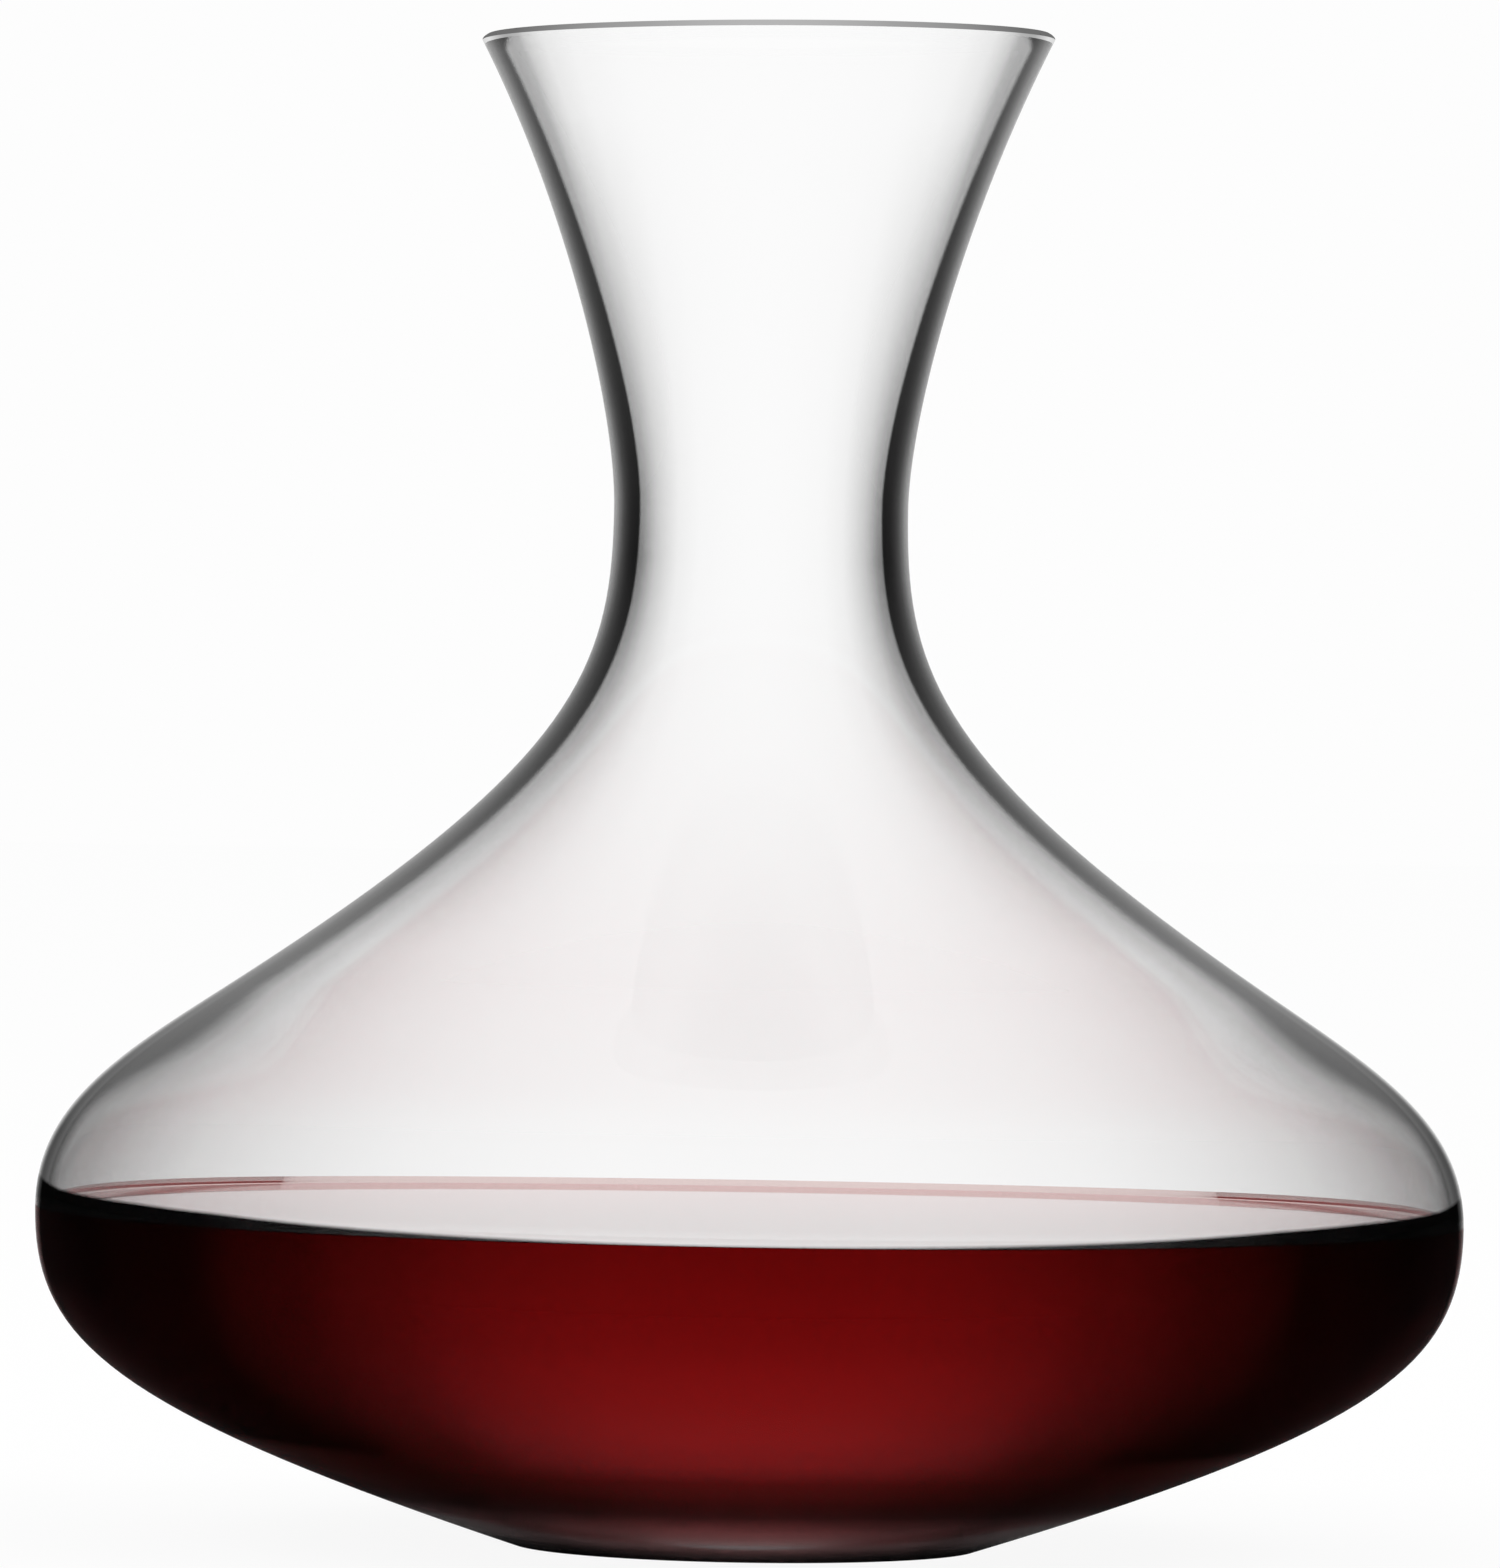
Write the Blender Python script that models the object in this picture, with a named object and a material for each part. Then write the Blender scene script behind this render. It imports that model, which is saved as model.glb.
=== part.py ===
"""A blown-glass wine decanter and the wine it holds, in metres, +Z up.

The decanter is a body of revolution about the Z axis. It stands on the plane z = 0, with the middle of
its foot at the origin. Its outer wall is one smooth curve through five stations: foot, belly, shoulder,
neck and mouth. Its inner wall follows the outer one at the thickness that each station names, and the
wine follows the inner wall at a small clearance.
"""

import math
from dataclasses import dataclass

import bmesh
import bpy
from mathutils import Matrix, Vector

# ---- Outside of the glass ----
HEIGHT = 0.2080
FOOT_DIAMETER = 0.0637
BELLY_DIAMETER = 0.1955
BELLY_HEIGHT = 0.0453
SHOULDER_DIAMETER = 0.1406
SHOULDER_HEIGHT = 0.0768
NECK_DIAMETER = 0.0403
NECK_HEIGHT = 0.1421
MOUTH_DIAMETER = 0.0786

# ---- Lean of the outer wall in degrees: 0 runs outwards, 90 straight up, more than 90 back inwards ----
HEEL_LEAN = 18.1
UPRIGHT = 90.0
SHOULDER_LEAN = 146.4
MOUTH_LEAN = 63.2

# ---- Thickness of the glass, square to the outer wall ----
FLOOR_THICKNESS = 0.0060
HEEL_WALL = 0.0080
BELLY_WALL = 0.0014
SHOULDER_WALL = 0.0025
NECK_WALL = 0.0035
LIP_WALL = 0.0021

# ---- Wine ----
WINE_LEVEL = 0.0455
WINE_CLEARANCE = 0.0003

# ---- How finely the curves are cut into straight pieces ----
TURN_STEPS = 36
STRETCH_STEPS = 9
FLOOR_STEPS = 5
LIP_STEPS = 4

# ---- How far each end of the curved floor runs on before it bends, as a share of its length ----
FLOOR_PULL = 0.25

WELD = 1e-6
SMALL_STEP = 1e-3
CREASE = math.radians(30.0)


@dataclass(frozen=True)
class Station:
    """A place that the outer wall passes through.

    radius and height are its place, lean is the wall's direction there in degrees, and wall is the
    thickness of the glass. The two pulls say how far the curve keeps that direction on its way from
    the station below and to the station above, as a share of the distance between them.
    """

    radius: float
    height: float
    lean: float
    wall: float
    pull_below: float
    pull_above: float

    @property
    def place(self):
        return Vector((self.radius, self.height))

    @property
    def direction(self):
        angle = math.radians(self.lean)
        return Vector((math.cos(angle), math.sin(angle)))


def mouth_station():
    """The outer edge of the lip, placed so that the round lip itself reaches the full height and width."""
    lean = math.radians(MOUTH_LEAN)
    lip_radius = LIP_WALL / 2
    return Station(
        radius=MOUTH_DIAMETER / 2 - lip_radius * (1 - math.sin(lean)),
        height=HEIGHT - lip_radius * (1 + math.cos(lean)),
        lean=MOUTH_LEAN,
        wall=LIP_WALL,
        pull_below=0.398,
        pull_above=0.0,
    )


STATIONS = (
    Station(FOOT_DIAMETER / 2, 0.0, HEEL_LEAN, HEEL_WALL, 0.0, 0.736),
    Station(BELLY_DIAMETER / 2, BELLY_HEIGHT, UPRIGHT, BELLY_WALL, 0.226, 0.345),
    Station(SHOULDER_DIAMETER / 2, SHOULDER_HEIGHT, SHOULDER_LEAN, SHOULDER_WALL, 0.429, 0.668),
    Station(NECK_DIAMETER / 2, NECK_HEIGHT, UPRIGHT, NECK_WALL, 0.268, 0.192),
    mouth_station(),
)


def bezier(start, start_handle, end_handle, end, t):
    """The point at t, from 0 to 1, of a cubic Bezier curve."""
    rest = 1 - t
    return (
        start * rest**3
        + start_handle * (3 * rest**2 * t)
        + end_handle * (3 * rest * t**2)
        + end * t**3
    )


def outer_point(low, high, t):
    """The outer wall between two stations, with t from 0 at the low one to 1 at the high one."""
    span = (high.place - low.place).length
    return bezier(
        low.place,
        low.place + low.direction * (low.pull_above * span),
        high.place - high.direction * (high.pull_below * span),
        high.place,
        t,
    )


def wall_thickness(low, high, t):
    """Thickness between two stations. The heel, which starts at the table, thins soonest."""
    share = (1 - t) ** 2
    if low.height > 0:
        share *= 1 + 2 * t
    return high.wall + (low.wall - high.wall) * share


def inner_point(low, high, t, clearance):
    """The inner wall across from outer_point, or a surface that lies a clearance further in."""
    before = outer_point(low, high, max(t - SMALL_STEP, 0.0))
    after = outer_point(low, high, min(t + SMALL_STEP, 1.0))
    along = (after - before).normalized()
    inwards = Vector((-along.y, along.x))
    return outer_point(low, high, t) + inwards * (wall_thickness(low, high, t) + clearance)


def along_stations(point_at):
    """Points from the foot to the mouth, evenly shared out over each stretch."""
    points = [point_at(STATIONS[0], STATIONS[1], 0.0)]
    for low, high in zip(STATIONS, STATIONS[1:]):
        points += [point_at(low, high, step / STRETCH_STEPS) for step in range(1, STRETCH_STEPS + 1)]
    return points


def outer_outline():
    """The outer wall from the edge of the foot to the lip."""
    return along_stations(outer_point)


def inner_outline(clearance=0.0):
    """The inside from the middle of the floor to the lip, or a surface that lies a clearance further in."""
    wall = along_stations(lambda low, high, t: inner_point(low, high, t, clearance))
    foot, belly = STATIONS[:2]
    rise = (inner_point(foot, belly, SMALL_STEP, clearance) - wall[0]).normalized()
    middle = Vector((0.0, FLOOR_THICKNESS + clearance))
    reach = (wall[0] - middle).length * FLOOR_PULL
    floor = [
        bezier(middle, middle + Vector((reach, 0.0)), wall[0] - rise * reach, wall[0], step / FLOOR_STEPS)
        for step in range(FLOOR_STEPS)
    ]
    return floor + wall


def lip_outline(outside, inside):
    """The round lip between the two walls, without its ends."""
    middle = (outside + inside) / 2
    arm = outside - middle
    turn = math.pi / LIP_STEPS
    return [middle + Matrix.Rotation(step * turn, 2) @ arm for step in range(1, LIP_STEPS)]


def glass_outline():
    """The whole section of the glass, from the axis under the foot to the axis on the floor."""
    outside = outer_outline()
    inside = inner_outline()
    lip = lip_outline(outside[-1], inside[-1])
    return [Vector((0.0, 0.0)), *outside, *lip, *reversed(inside)]


def wine_outline():
    """The section of the wine, from its lowest point on the axis to the middle of its flat top."""
    inside = inner_outline(WINE_CLEARANCE)
    wet = [point for point in inside if point.y < WINE_LEVEL]
    below, above = inside[len(wet) - 1], inside[len(wet)]
    edge = below.lerp(above, (WINE_LEVEL - below.y) / (above.y - below.y))
    return [*wet, edge, Vector((0.0, WINE_LEVEL))]


def turned(name, outline, material, parent):
    """A solid of revolution about the Z axis, whose outline starts and ends on that axis."""
    mesh = bpy.data.meshes.new(name)
    shape = bmesh.new()
    corners = [shape.verts.new((point.x, 0.0, point.y)) for point in outline]
    edges = [shape.edges.new(pair) for pair in zip(corners, corners[1:])]
    bmesh.ops.spin(
        shape,
        geom=corners + edges,
        cent=(0.0, 0.0, 0.0),
        axis=(0.0, 0.0, 1.0),
        angle=math.tau,
        steps=TURN_STEPS,
        use_merge=True,
    )
    bmesh.ops.remove_doubles(shape, verts=shape.verts, dist=WELD)
    bmesh.ops.recalc_face_normals(shape, faces=shape.faces)
    shape.to_mesh(mesh)
    shape.free()
    mesh.shade_smooth()
    mesh.set_sharp_from_angle(angle=CREASE)
    mesh.materials.append(material)
    solid = bpy.data.objects.new(name, mesh)
    solid.parent = parent
    bpy.context.collection.objects.link(solid)
    return solid


def finish(name, colour, roughness, transmission, ior):
    """A material whose colour is given as linear red, green and blue."""
    material = bpy.data.materials.new(name)
    material.use_nodes = True
    shader = material.node_tree.nodes["Principled BSDF"]
    shader.inputs["Base Color"].default_value = (*colour, 1.0)
    shader.inputs["Roughness"].default_value = roughness
    shader.inputs["Metallic"].default_value = 0.0
    shader.inputs["Transmission Weight"].default_value = transmission
    shader.inputs["IOR"].default_value = ior
    return material


def clear_glass():
    """Colourless soda-lime glass, fire polished."""
    return finish("clear_glass", (0.95, 0.96, 0.96), 0.02, 1.0, 1.52)


def red_wine_liquid():
    """Red wine, nearly opaque at the depth that it stands at here."""
    return finish("red_wine_liquid", (0.14, 0.004, 0.007), 0.05, 0.4, 1.34)


def main():
    for leftover in list(bpy.data.objects):
        bpy.data.objects.remove(leftover, do_unlink=True)
    decanter = bpy.data.objects.new("wine_decanter", None)
    bpy.context.collection.objects.link(decanter)
    turned("glass_vessel", glass_outline(), clear_glass(), decanter)
    turned("red_wine", wine_outline(), red_wine_liquid(), decanter)


if __name__ == "__main__":
    main()
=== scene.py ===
"""A blown-glass wine decanter with red wine in it, in a bright-field studio.

The decanter and the wine are bodies of revolution about the Z axis, in metres. The decanter's outer
wall is one smooth curve through five stations, its inner wall follows that curve at the thickness of
the glass, and the wine lies against the inner wall and climbs it a little at its edge.
"""

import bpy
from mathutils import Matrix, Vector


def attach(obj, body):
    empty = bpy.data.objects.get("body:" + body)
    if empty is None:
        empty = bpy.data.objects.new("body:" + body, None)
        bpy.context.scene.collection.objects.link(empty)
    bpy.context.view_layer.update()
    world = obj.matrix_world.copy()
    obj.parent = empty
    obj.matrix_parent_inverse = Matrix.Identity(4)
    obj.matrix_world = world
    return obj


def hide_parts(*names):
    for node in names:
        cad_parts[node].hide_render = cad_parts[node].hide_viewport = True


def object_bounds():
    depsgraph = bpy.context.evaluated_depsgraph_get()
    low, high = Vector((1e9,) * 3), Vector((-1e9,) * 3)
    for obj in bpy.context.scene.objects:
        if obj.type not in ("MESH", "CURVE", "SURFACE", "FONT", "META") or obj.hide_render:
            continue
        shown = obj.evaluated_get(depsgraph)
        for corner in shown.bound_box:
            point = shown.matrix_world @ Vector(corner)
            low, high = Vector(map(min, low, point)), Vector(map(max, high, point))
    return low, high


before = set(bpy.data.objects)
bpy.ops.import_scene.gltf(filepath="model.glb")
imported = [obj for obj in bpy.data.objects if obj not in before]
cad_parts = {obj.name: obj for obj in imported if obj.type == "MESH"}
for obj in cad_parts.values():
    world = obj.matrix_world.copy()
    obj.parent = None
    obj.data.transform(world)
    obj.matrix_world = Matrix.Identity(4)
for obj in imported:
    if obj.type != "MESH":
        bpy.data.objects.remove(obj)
cad_box = [list(corner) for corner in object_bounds()]

import logging
import math
from dataclasses import dataclass, field
from enum import Enum
from typing import Any

import bmesh
import bpy
from mathutils import Matrix, Vector

LOG = logging.getLogger("decanter")

MM = 0.001
WELD = 1e-7
SMALL_STEP = 1e-3
UPRIGHT = 90.0
WINE_LEVEL = 45.5 * MM
PLAIN_FACING = 0.5
BODY = "root"
SKIN_LAYER = "skin"
Curve = tuple[tuple[float, float], ...]
Sockets = tuple[bpy.types.NodeSocket, bpy.types.NodeSocket]


class Wall(Enum):
    """The stretches of the glass's skin, which meet the light differently and carry different painted
    shade.
    """

    DRY_OUTSIDE = 0
    WET_OUTSIDE = 1
    DRY_INSIDE = 2
    WET_INSIDE = 3
    LIP_OUTSIDE = 4
    LIP_INSIDE = 5


class Skin(Enum):
    """The stretches of the wine's skin."""

    BODY = 0
    TOP = 1
    MENISCUS = 2


# ------------------------------------------------------------------ helpers


def linear(code: str) -> tuple[float, float, float, float]:
    """Turn an sRGB hex colour into linear values.

    Args:
        code: Six hex digits after a hash sign, such as "#f4f6f5".

    Returns:
        Linear red, green and blue, with an alpha of 1.
    """
    values = []
    for start in (1, 3, 5):
        share = int(code[start : start + 2], 16) / 255
        values.append(share / 12.92 if share <= 0.04045 else ((share + 0.055) / 1.055) ** 2.4)
    return (values[0], values[1], values[2], 1.0)


def add_node(
    tree: bpy.types.NodeTree,
    kind: str,
    settings: dict[str | int, Any] | None = None,
    links: dict[str | int, bpy.types.NodeSocket] | None = None,
    stops: Curve = (),
) -> bpy.types.Node:
    """Add one node to a tree.

    Args:
        tree: The node tree to add to.
        kind: The node's type name in Blender.
        settings: Values for the node's own properties, or for its inputs by name or number.
        links: The output that feeds each input, by the input's name or number.
        stops: Place and grey level of each stop, where the node is a ramp.

    Returns:
        The new node.
    """
    node = tree.nodes.new(kind)
    for name, value in (settings or {}).items():
        if isinstance(name, str) and hasattr(node, name):
            setattr(node, name, value)
        else:
            node.inputs[name].default_value = value
    for name, source in (links or {}).items():
        tree.links.new(source, node.inputs[name])
    if stops:
        ramp = node.color_ramp.elements
        while len(ramp) < len(stops):
            ramp.new(0.5)
        for element, (place, _) in zip(ramp, stops):
            element.position = place
        for element, (_, level) in zip(ramp, stops):
            element.color = (level, level, level, 1.0)
    return node


def new_material(name: str) -> tuple[bpy.types.Material, bpy.types.NodeTree, bpy.types.NodeSocket]:
    """Make an empty node material.

    Args:
        name: The material's name.

    Returns:
        The material, its node tree, and the output's surface socket.
    """
    material = bpy.data.materials.new(name)
    material.use_nodes = True
    tree = material.node_tree
    tree.nodes.clear()
    output = add_node(tree, "ShaderNodeOutputMaterial")
    return material, tree, output.inputs["Surface"]


def bezier(start: Vector, start_handle: Vector, end_handle: Vector, end: Vector, t: float) -> Vector:
    """Give the point at t, from 0 to 1, of a cubic Bezier curve."""
    rest = 1 - t
    return (
        start * rest**3
        + start_handle * (3 * rest**2 * t)
        + end_handle * (3 * rest * t**2)
        + end * t**3
    )


# ------------------------------------------------------------------ the decanter's form


@dataclass(frozen=True)
class Station:
    """A place that the outer wall passes through.

    radius and height are its place in metres, lean is the wall's direction there in degrees, and wall
    is the thickness of the glass. The pulls say how far the curve keeps that direction towards the
    station below and the one above, as a share of the distance to it.
    """

    radius: float
    height: float
    lean: float
    wall: float
    pull_below: float
    pull_above: float

    @property
    def place(self) -> Vector:
        """The station as a point of the section."""
        return Vector((self.radius, self.height))

    @property
    def direction(self) -> Vector:
        """The wall's direction on its way up."""
        angle = math.radians(self.lean)
        return Vector((math.cos(angle), math.sin(angle)))


@dataclass(frozen=True)
class DecanterForm:
    """The section of the decanter, from which both the glass and the wine are turned.

    A lean of 0 degrees runs outwards, 90 straight up, and more than 90 back inwards. bowl_share says
    how far up from the belly to the shoulder the wall is thinnest, and lip_bulge how tall the lip's
    round is as a share of half its width.
    """

    height: float = cad_box[1][2] - cad_box[0][2]
    foot_diameter: float = 63.7 * MM
    belly_diameter: float = 195.5 * MM
    belly_height: float = 45.3 * MM
    shoulder_diameter: float = 140.6 * MM
    shoulder_height: float = 76.8 * MM
    neck_diameter: float = 40.3 * MM
    neck_height: float = 142.1 * MM
    mouth_diameter: float = 78.6 * MM
    floor_thickness: float = 6.0 * MM
    heel_wall: float = 8.0 * MM
    belly_wall: float = 1.4 * MM
    bowl_wall: float = 1.3 * MM
    bowl_share: float = 0.38
    shoulder_wall: float = 1.9 * MM
    neck_wall: float = 3.5 * MM
    lip_wall: float = 2.1 * MM
    heel_lean: float = 18.1
    shoulder_lean: float = 146.4
    mouth_lean: float = 63.2
    heel_pull: float = 0.736
    belly_pulls: tuple[float, float] = (0.226, 0.345)
    shoulder_pulls: tuple[float, float] = (0.429, 0.668)
    neck_pulls: tuple[float, float] = (0.268, 0.192)
    mouth_pull: float = 0.398
    floor_pull: float = 0.25
    stretch_steps: int = 34
    floor_steps: int = 14
    lip_steps: int = 12
    lip_bulge: float = 0.35

    @property
    def stations(self) -> tuple[Station, ...]:
        """The five stations from the foot to the mouth."""
        foot, belly = self.foot_diameter / 2, self.belly_diameter / 2
        shoulder, neck = self.shoulder_diameter / 2, self.neck_diameter / 2
        lean = math.radians(self.mouth_lean)
        lip = self.lip_wall / 2
        mouth = self.mouth_diameter / 2 - lip * (1 - math.sin(lean))
        lip_height = self.height - lip * (1 + math.cos(lean))
        return (
            Station(foot, 0.0, self.heel_lean, self.heel_wall, 0.0, self.heel_pull),
            Station(belly, self.belly_height, UPRIGHT, self.belly_wall, *self.belly_pulls),
            Station(
                shoulder,
                self.shoulder_height,
                self.shoulder_lean,
                self.shoulder_wall,
                *self.shoulder_pulls,
            ),
            Station(neck, self.neck_height, UPRIGHT, self.neck_wall, *self.neck_pulls),
            Station(mouth, lip_height, self.mouth_lean, self.lip_wall, self.mouth_pull, 0.0),
        )

    def outer_point(self, low: Station, high: Station, t: float) -> Vector:
        """Give a point of the outer wall.

        Args:
            low: The station below.
            high: The station above.
            t: How far along, from 0 at low to 1 at high.

        Returns:
            The point, as radius and height.
        """
        span = (high.place - low.place).length
        start_handle = low.place + low.direction * (low.pull_above * span)
        end_handle = high.place - high.direction * (high.pull_below * span)
        return bezier(low.place, start_handle, end_handle, high.place, t)

    def thickness(self, low: Station, high: Station, t: float) -> float:
        """Give the thickness of the glass between two stations.

        Args:
            low: The station below.
            high: The station above.
            t: How far along, from 0 at low to 1 at high.

        Returns:
            The thickness in metres. The heel, which starts at the table, thins soonest, and the bowl is
            thinnest of all.
        """
        start, end = low.wall, high.wall
        if low.height == self.belly_height:
            if t < self.bowl_share:
                t, end = t / self.bowl_share, self.bowl_wall
            else:
                t, start = (t - self.bowl_share) / (1 - self.bowl_share), self.bowl_wall
        share = (1 - t) ** 2 * (1 + 2 * t if low.height > 0 else 1)
        return end + (start - end) * share

    def inner_point(self, low: Station, high: Station, t: float, sink: float = 0.0) -> Vector:
        """Give the point of the inner wall across from outer_point.

        Args:
            low: The station below.
            high: The station above.
            t: How far along, from 0 at low to 1 at high.
            sink: How far the point lies inside the glass instead, in metres.

        Returns:
            The point, as radius and height.
        """
        before = self.outer_point(low, high, max(t - SMALL_STEP, 0.0))
        after = self.outer_point(low, high, min(t + SMALL_STEP, 1.0))
        along = (after - before).normalized()
        inwards = Vector((-along.y, along.x))
        return self.outer_point(low, high, t) + inwards * (self.thickness(low, high, t) - sink)

    def stretches(self) -> list[tuple[Station, Station, float]]:
        """Share out the points of the wall.

        Returns:
            For each point from the foot to the mouth, the stations below and above it and how far it
            lies from one to the other.
        """
        steps = self.stretch_steps
        places = [(self.stations[0], self.stations[1], 0.0)]
        for low, high in zip(self.stations, self.stations[1:]):
            places += [(low, high, step / steps) for step in range(1, steps + 1)]
        return places

    def outside(self) -> list[Vector]:
        """Give the outer wall from the edge of the foot to the lip."""
        return [self.outer_point(*place) for place in self.stretches()]

    def inside(self, sink: float = 0.0) -> list[Vector]:
        """Give the inner wall from the middle of the floor to the lip.

        Args:
            sink: How far the line lies inside the glass instead, in metres.

        Returns:
            The points of the line, as radius and height.
        """
        wall = [self.inner_point(*place, sink) for place in self.stretches()]
        foot, belly = self.stations[:2]
        rise = (self.inner_point(foot, belly, SMALL_STEP, sink) - wall[0]).normalized()
        middle = Vector((0.0, self.floor_thickness - sink))
        reach = (wall[0] - middle).length * self.floor_pull
        ends = (middle, middle + Vector((reach, 0.0)), wall[0] - rise * reach, wall[0])
        return [bezier(*ends, step / self.floor_steps) for step in range(self.floor_steps)] + wall

    def lip(self, outer: Vector, inner: Vector) -> list[Vector]:
        """Give the lip between the two walls, round and a little flat on top.

        Args:
            outer: The last point of the outer wall.
            inner: The last point of the inner wall.

        Returns:
            The points of the lip from outside to inside, without its ends.
        """
        middle = (outer + inner) / 2
        arm = outer - middle
        rise = Vector((-arm.y, arm.x)) * self.lip_bulge
        angles = [math.pi * step / self.lip_steps for step in range(1, self.lip_steps)]
        return [middle + arm * math.cos(angle) + rise * math.sin(angle) for angle in angles]


@dataclass(frozen=True)
class Lathe:
    """Turns a section into a solid about the Z axis."""

    turns: int = 180
    crease: float = 30.0

    def turn(self, name: str, section: list[Vector], marks: list[int]) -> bpy.types.Object:
        """Turn a section that starts and ends on the axis.

        Args:
            name: The name of the piece.
            section: Its points as radius and height.
            marks: The number of the stretch of skin that starts at each point but the last.

        Returns:
            The piece, linked to the scene. Its faces carry their skin number and use that material.
        """
        shape = bmesh.new()
        order = shape.verts.layers.int.new("order")
        skin = shape.faces.layers.float.new(SKIN_LAYER)
        corners = []
        for number, point in enumerate(section):
            corners.append(shape.verts.new((point.x, 0.0, point.y)))
            corners[-1][order] = number
        edges = [shape.edges.new(pair) for pair in zip(corners, corners[1:])]
        bmesh.ops.spin(
            shape,
            geom=corners + edges,
            cent=(0.0, 0.0, 0.0),
            axis=(0.0, 0.0, 1.0),
            angle=math.tau,
            steps=self.turns,
            use_merge=True,
        )
        bmesh.ops.remove_doubles(shape, verts=shape.verts, dist=WELD)
        bmesh.ops.recalc_face_normals(shape, faces=shape.faces)
        for face in shape.faces:
            face.smooth = True
            face.material_index = marks[min(corner[order] for corner in face.verts)]
            face[skin] = face.material_index
        mesh = bpy.data.meshes.new(name)
        shape.to_mesh(mesh)
        shape.free()
        mesh.attributes.remove(mesh.attributes["order"])
        mesh.set_sharp_from_angle(angle=math.radians(self.crease))
        piece = bpy.data.objects.new(name, mesh)
        bpy.context.collection.objects.link(piece)
        return piece


# ------------------------------------------------------------------ finishes, most with painted shade


@dataclass(frozen=True)
class BlownGlass:
    """Colourless soda-lime glass, mouth blown and fire polished.

    It gives the eye a clear body with bright white inside lines of painted shade: where a wall turns
    away, a black shader is mixed into the glass as painted shade, most of all along its inner skin, in
    place of light that strikes a wall aslant and is thrown aside in the glass. Each curve holds pairs
    of how far the wall turns away and the share of glass left without painted shade, both from 0 to 1,
    unless its finish says otherwise.
    """

    name: str
    colour: str = "#fefefe"
    gloss: str = "#7c7c7c"
    # painted shade: black mixed into the glass where it turns away
    painted_shade: str = "#000000"
    ior: float = 1.52
    wave_width: float = 26 * MM
    wave_depth: float = 0.02 * MM
    wave_detail: float = 1.0
    wave_roughness: float = 0.4
    wave_strength: float = 0.5

    def glass(self, tree: bpy.types.NodeTree) -> bpy.types.NodeSocket:
        """Build clear glass with the faint waves of blown work.

        Args:
            tree: The node tree to add to.

        Returns:
            The socket that holds the shader.
        """
        place = add_node(tree, "ShaderNodeTexCoord")
        waves = add_node(
            tree,
            "ShaderNodeTexNoise",
            {
                "Scale": 1 / self.wave_width,
                "Detail": self.wave_detail,
                "Roughness": self.wave_roughness,
            },
            {"Vector": place.outputs["Object"]},
        )
        bump = add_node(
            tree,
            "ShaderNodeBump",
            {"Strength": self.wave_strength, "Distance": self.wave_depth},
            {"Height": waves.outputs["Fac"]},
        )
        links = {"Normal": bump.outputs["Normal"]}
        tint = self.tint(tree)
        if tint is not None:
            links["Base Color"] = tint
        shader = add_node(
            tree,
            "ShaderNodeBsdfPrincipled",
            {
                "Base Color": linear(self.colour),
                "Roughness": 0.0,
                "IOR": self.ior,
                "Specular Tint": linear(self.gloss),
                "Transmission Weight": 1.0,
            },
            links,
        )
        return shader.outputs[0]

    def tint(self, tree: bpy.types.NodeTree) -> bpy.types.NodeSocket | None:
        """Give the skin's colour where it varies, or None where it is the same all over."""
        return None

    def unshaded_share(self, tree: bpy.types.NodeTree) -> bpy.types.NodeSocket | None:
        """Give the share of glass left without painted shade, or None where none is painted."""
        return None

    def place_and_height(self, tree: bpy.types.NodeTree) -> Sockets:
        """Give the sockets that hold the place on the object and its height."""
        place = add_node(tree, "ShaderNodeTexCoord").outputs["Object"]
        return place, add_node(tree, "ShaderNodeSeparateXYZ", {}, {0: place}).outputs["Z"]

    def turned_sideways(
        self, tree: bpy.types.NodeTree, place: bpy.types.NodeSocket
    ) -> bpy.types.NodeSocket:
        """Measure how far the round of the body turns away, whatever the slope of its wall.

        Args:
            tree: The node tree to add to.
            place: The socket that holds the place on the object.

        Returns:
            The socket that holds 0 where the body faces the eye and 1 at its outline.
        """
        flatten = {"operation": "MULTIPLY", 1: (1.0, 1.0, 0.0)}
        level = add_node(tree, "ShaderNodeVectorMath", flatten, {0: place}).outputs[0]
        outward = add_node(tree, "ShaderNodeVectorMath", {"operation": "NORMALIZE"}, {0: level})
        links = {"Normal": outward.outputs[0]}
        return add_node(tree, "ShaderNodeLayerWeight", {"Blend": PLAIN_FACING}, links).outputs["Facing"]

    def blended(
        self,
        tree: bpy.types.NodeTree,
        height: bpy.types.NodeSocket,
        turned: bpy.types.NodeSocket,
        lowest: Curve,
        bands: tuple[tuple[float, float, Curve], ...],
    ) -> bpy.types.NodeSocket:
        """Blend from one curve to the next with height.

        Args:
            tree: The node tree to add to.
            height: The socket that holds the height of the place on the object.
            turned: The socket that holds how far the round of the body turns away.
            lowest: The curve that holds at the bottom.
            bands: The heights that each blend starts and ends at, and the curve that it ends in.

        Returns:
            The socket that holds the share of glass left without painted shade.
        """
        share = add_node(tree, "ShaderNodeValToRGB", {}, {0: turned}, lowest).outputs[0]
        for low, high, curve in bands:
            reached = {"From Min": low, "From Max": high}
            factor = add_node(tree, "ShaderNodeMapRange", reached, {"Value": height}).outputs[0]
            above = add_node(tree, "ShaderNodeValToRGB", {}, {0: turned}, curve).outputs[0]
            links = {"Factor": factor, 2: share, 3: above}
            share = add_node(tree, "ShaderNodeMix", {"data_type": "FLOAT"}, links).outputs[0]
        return share

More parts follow.
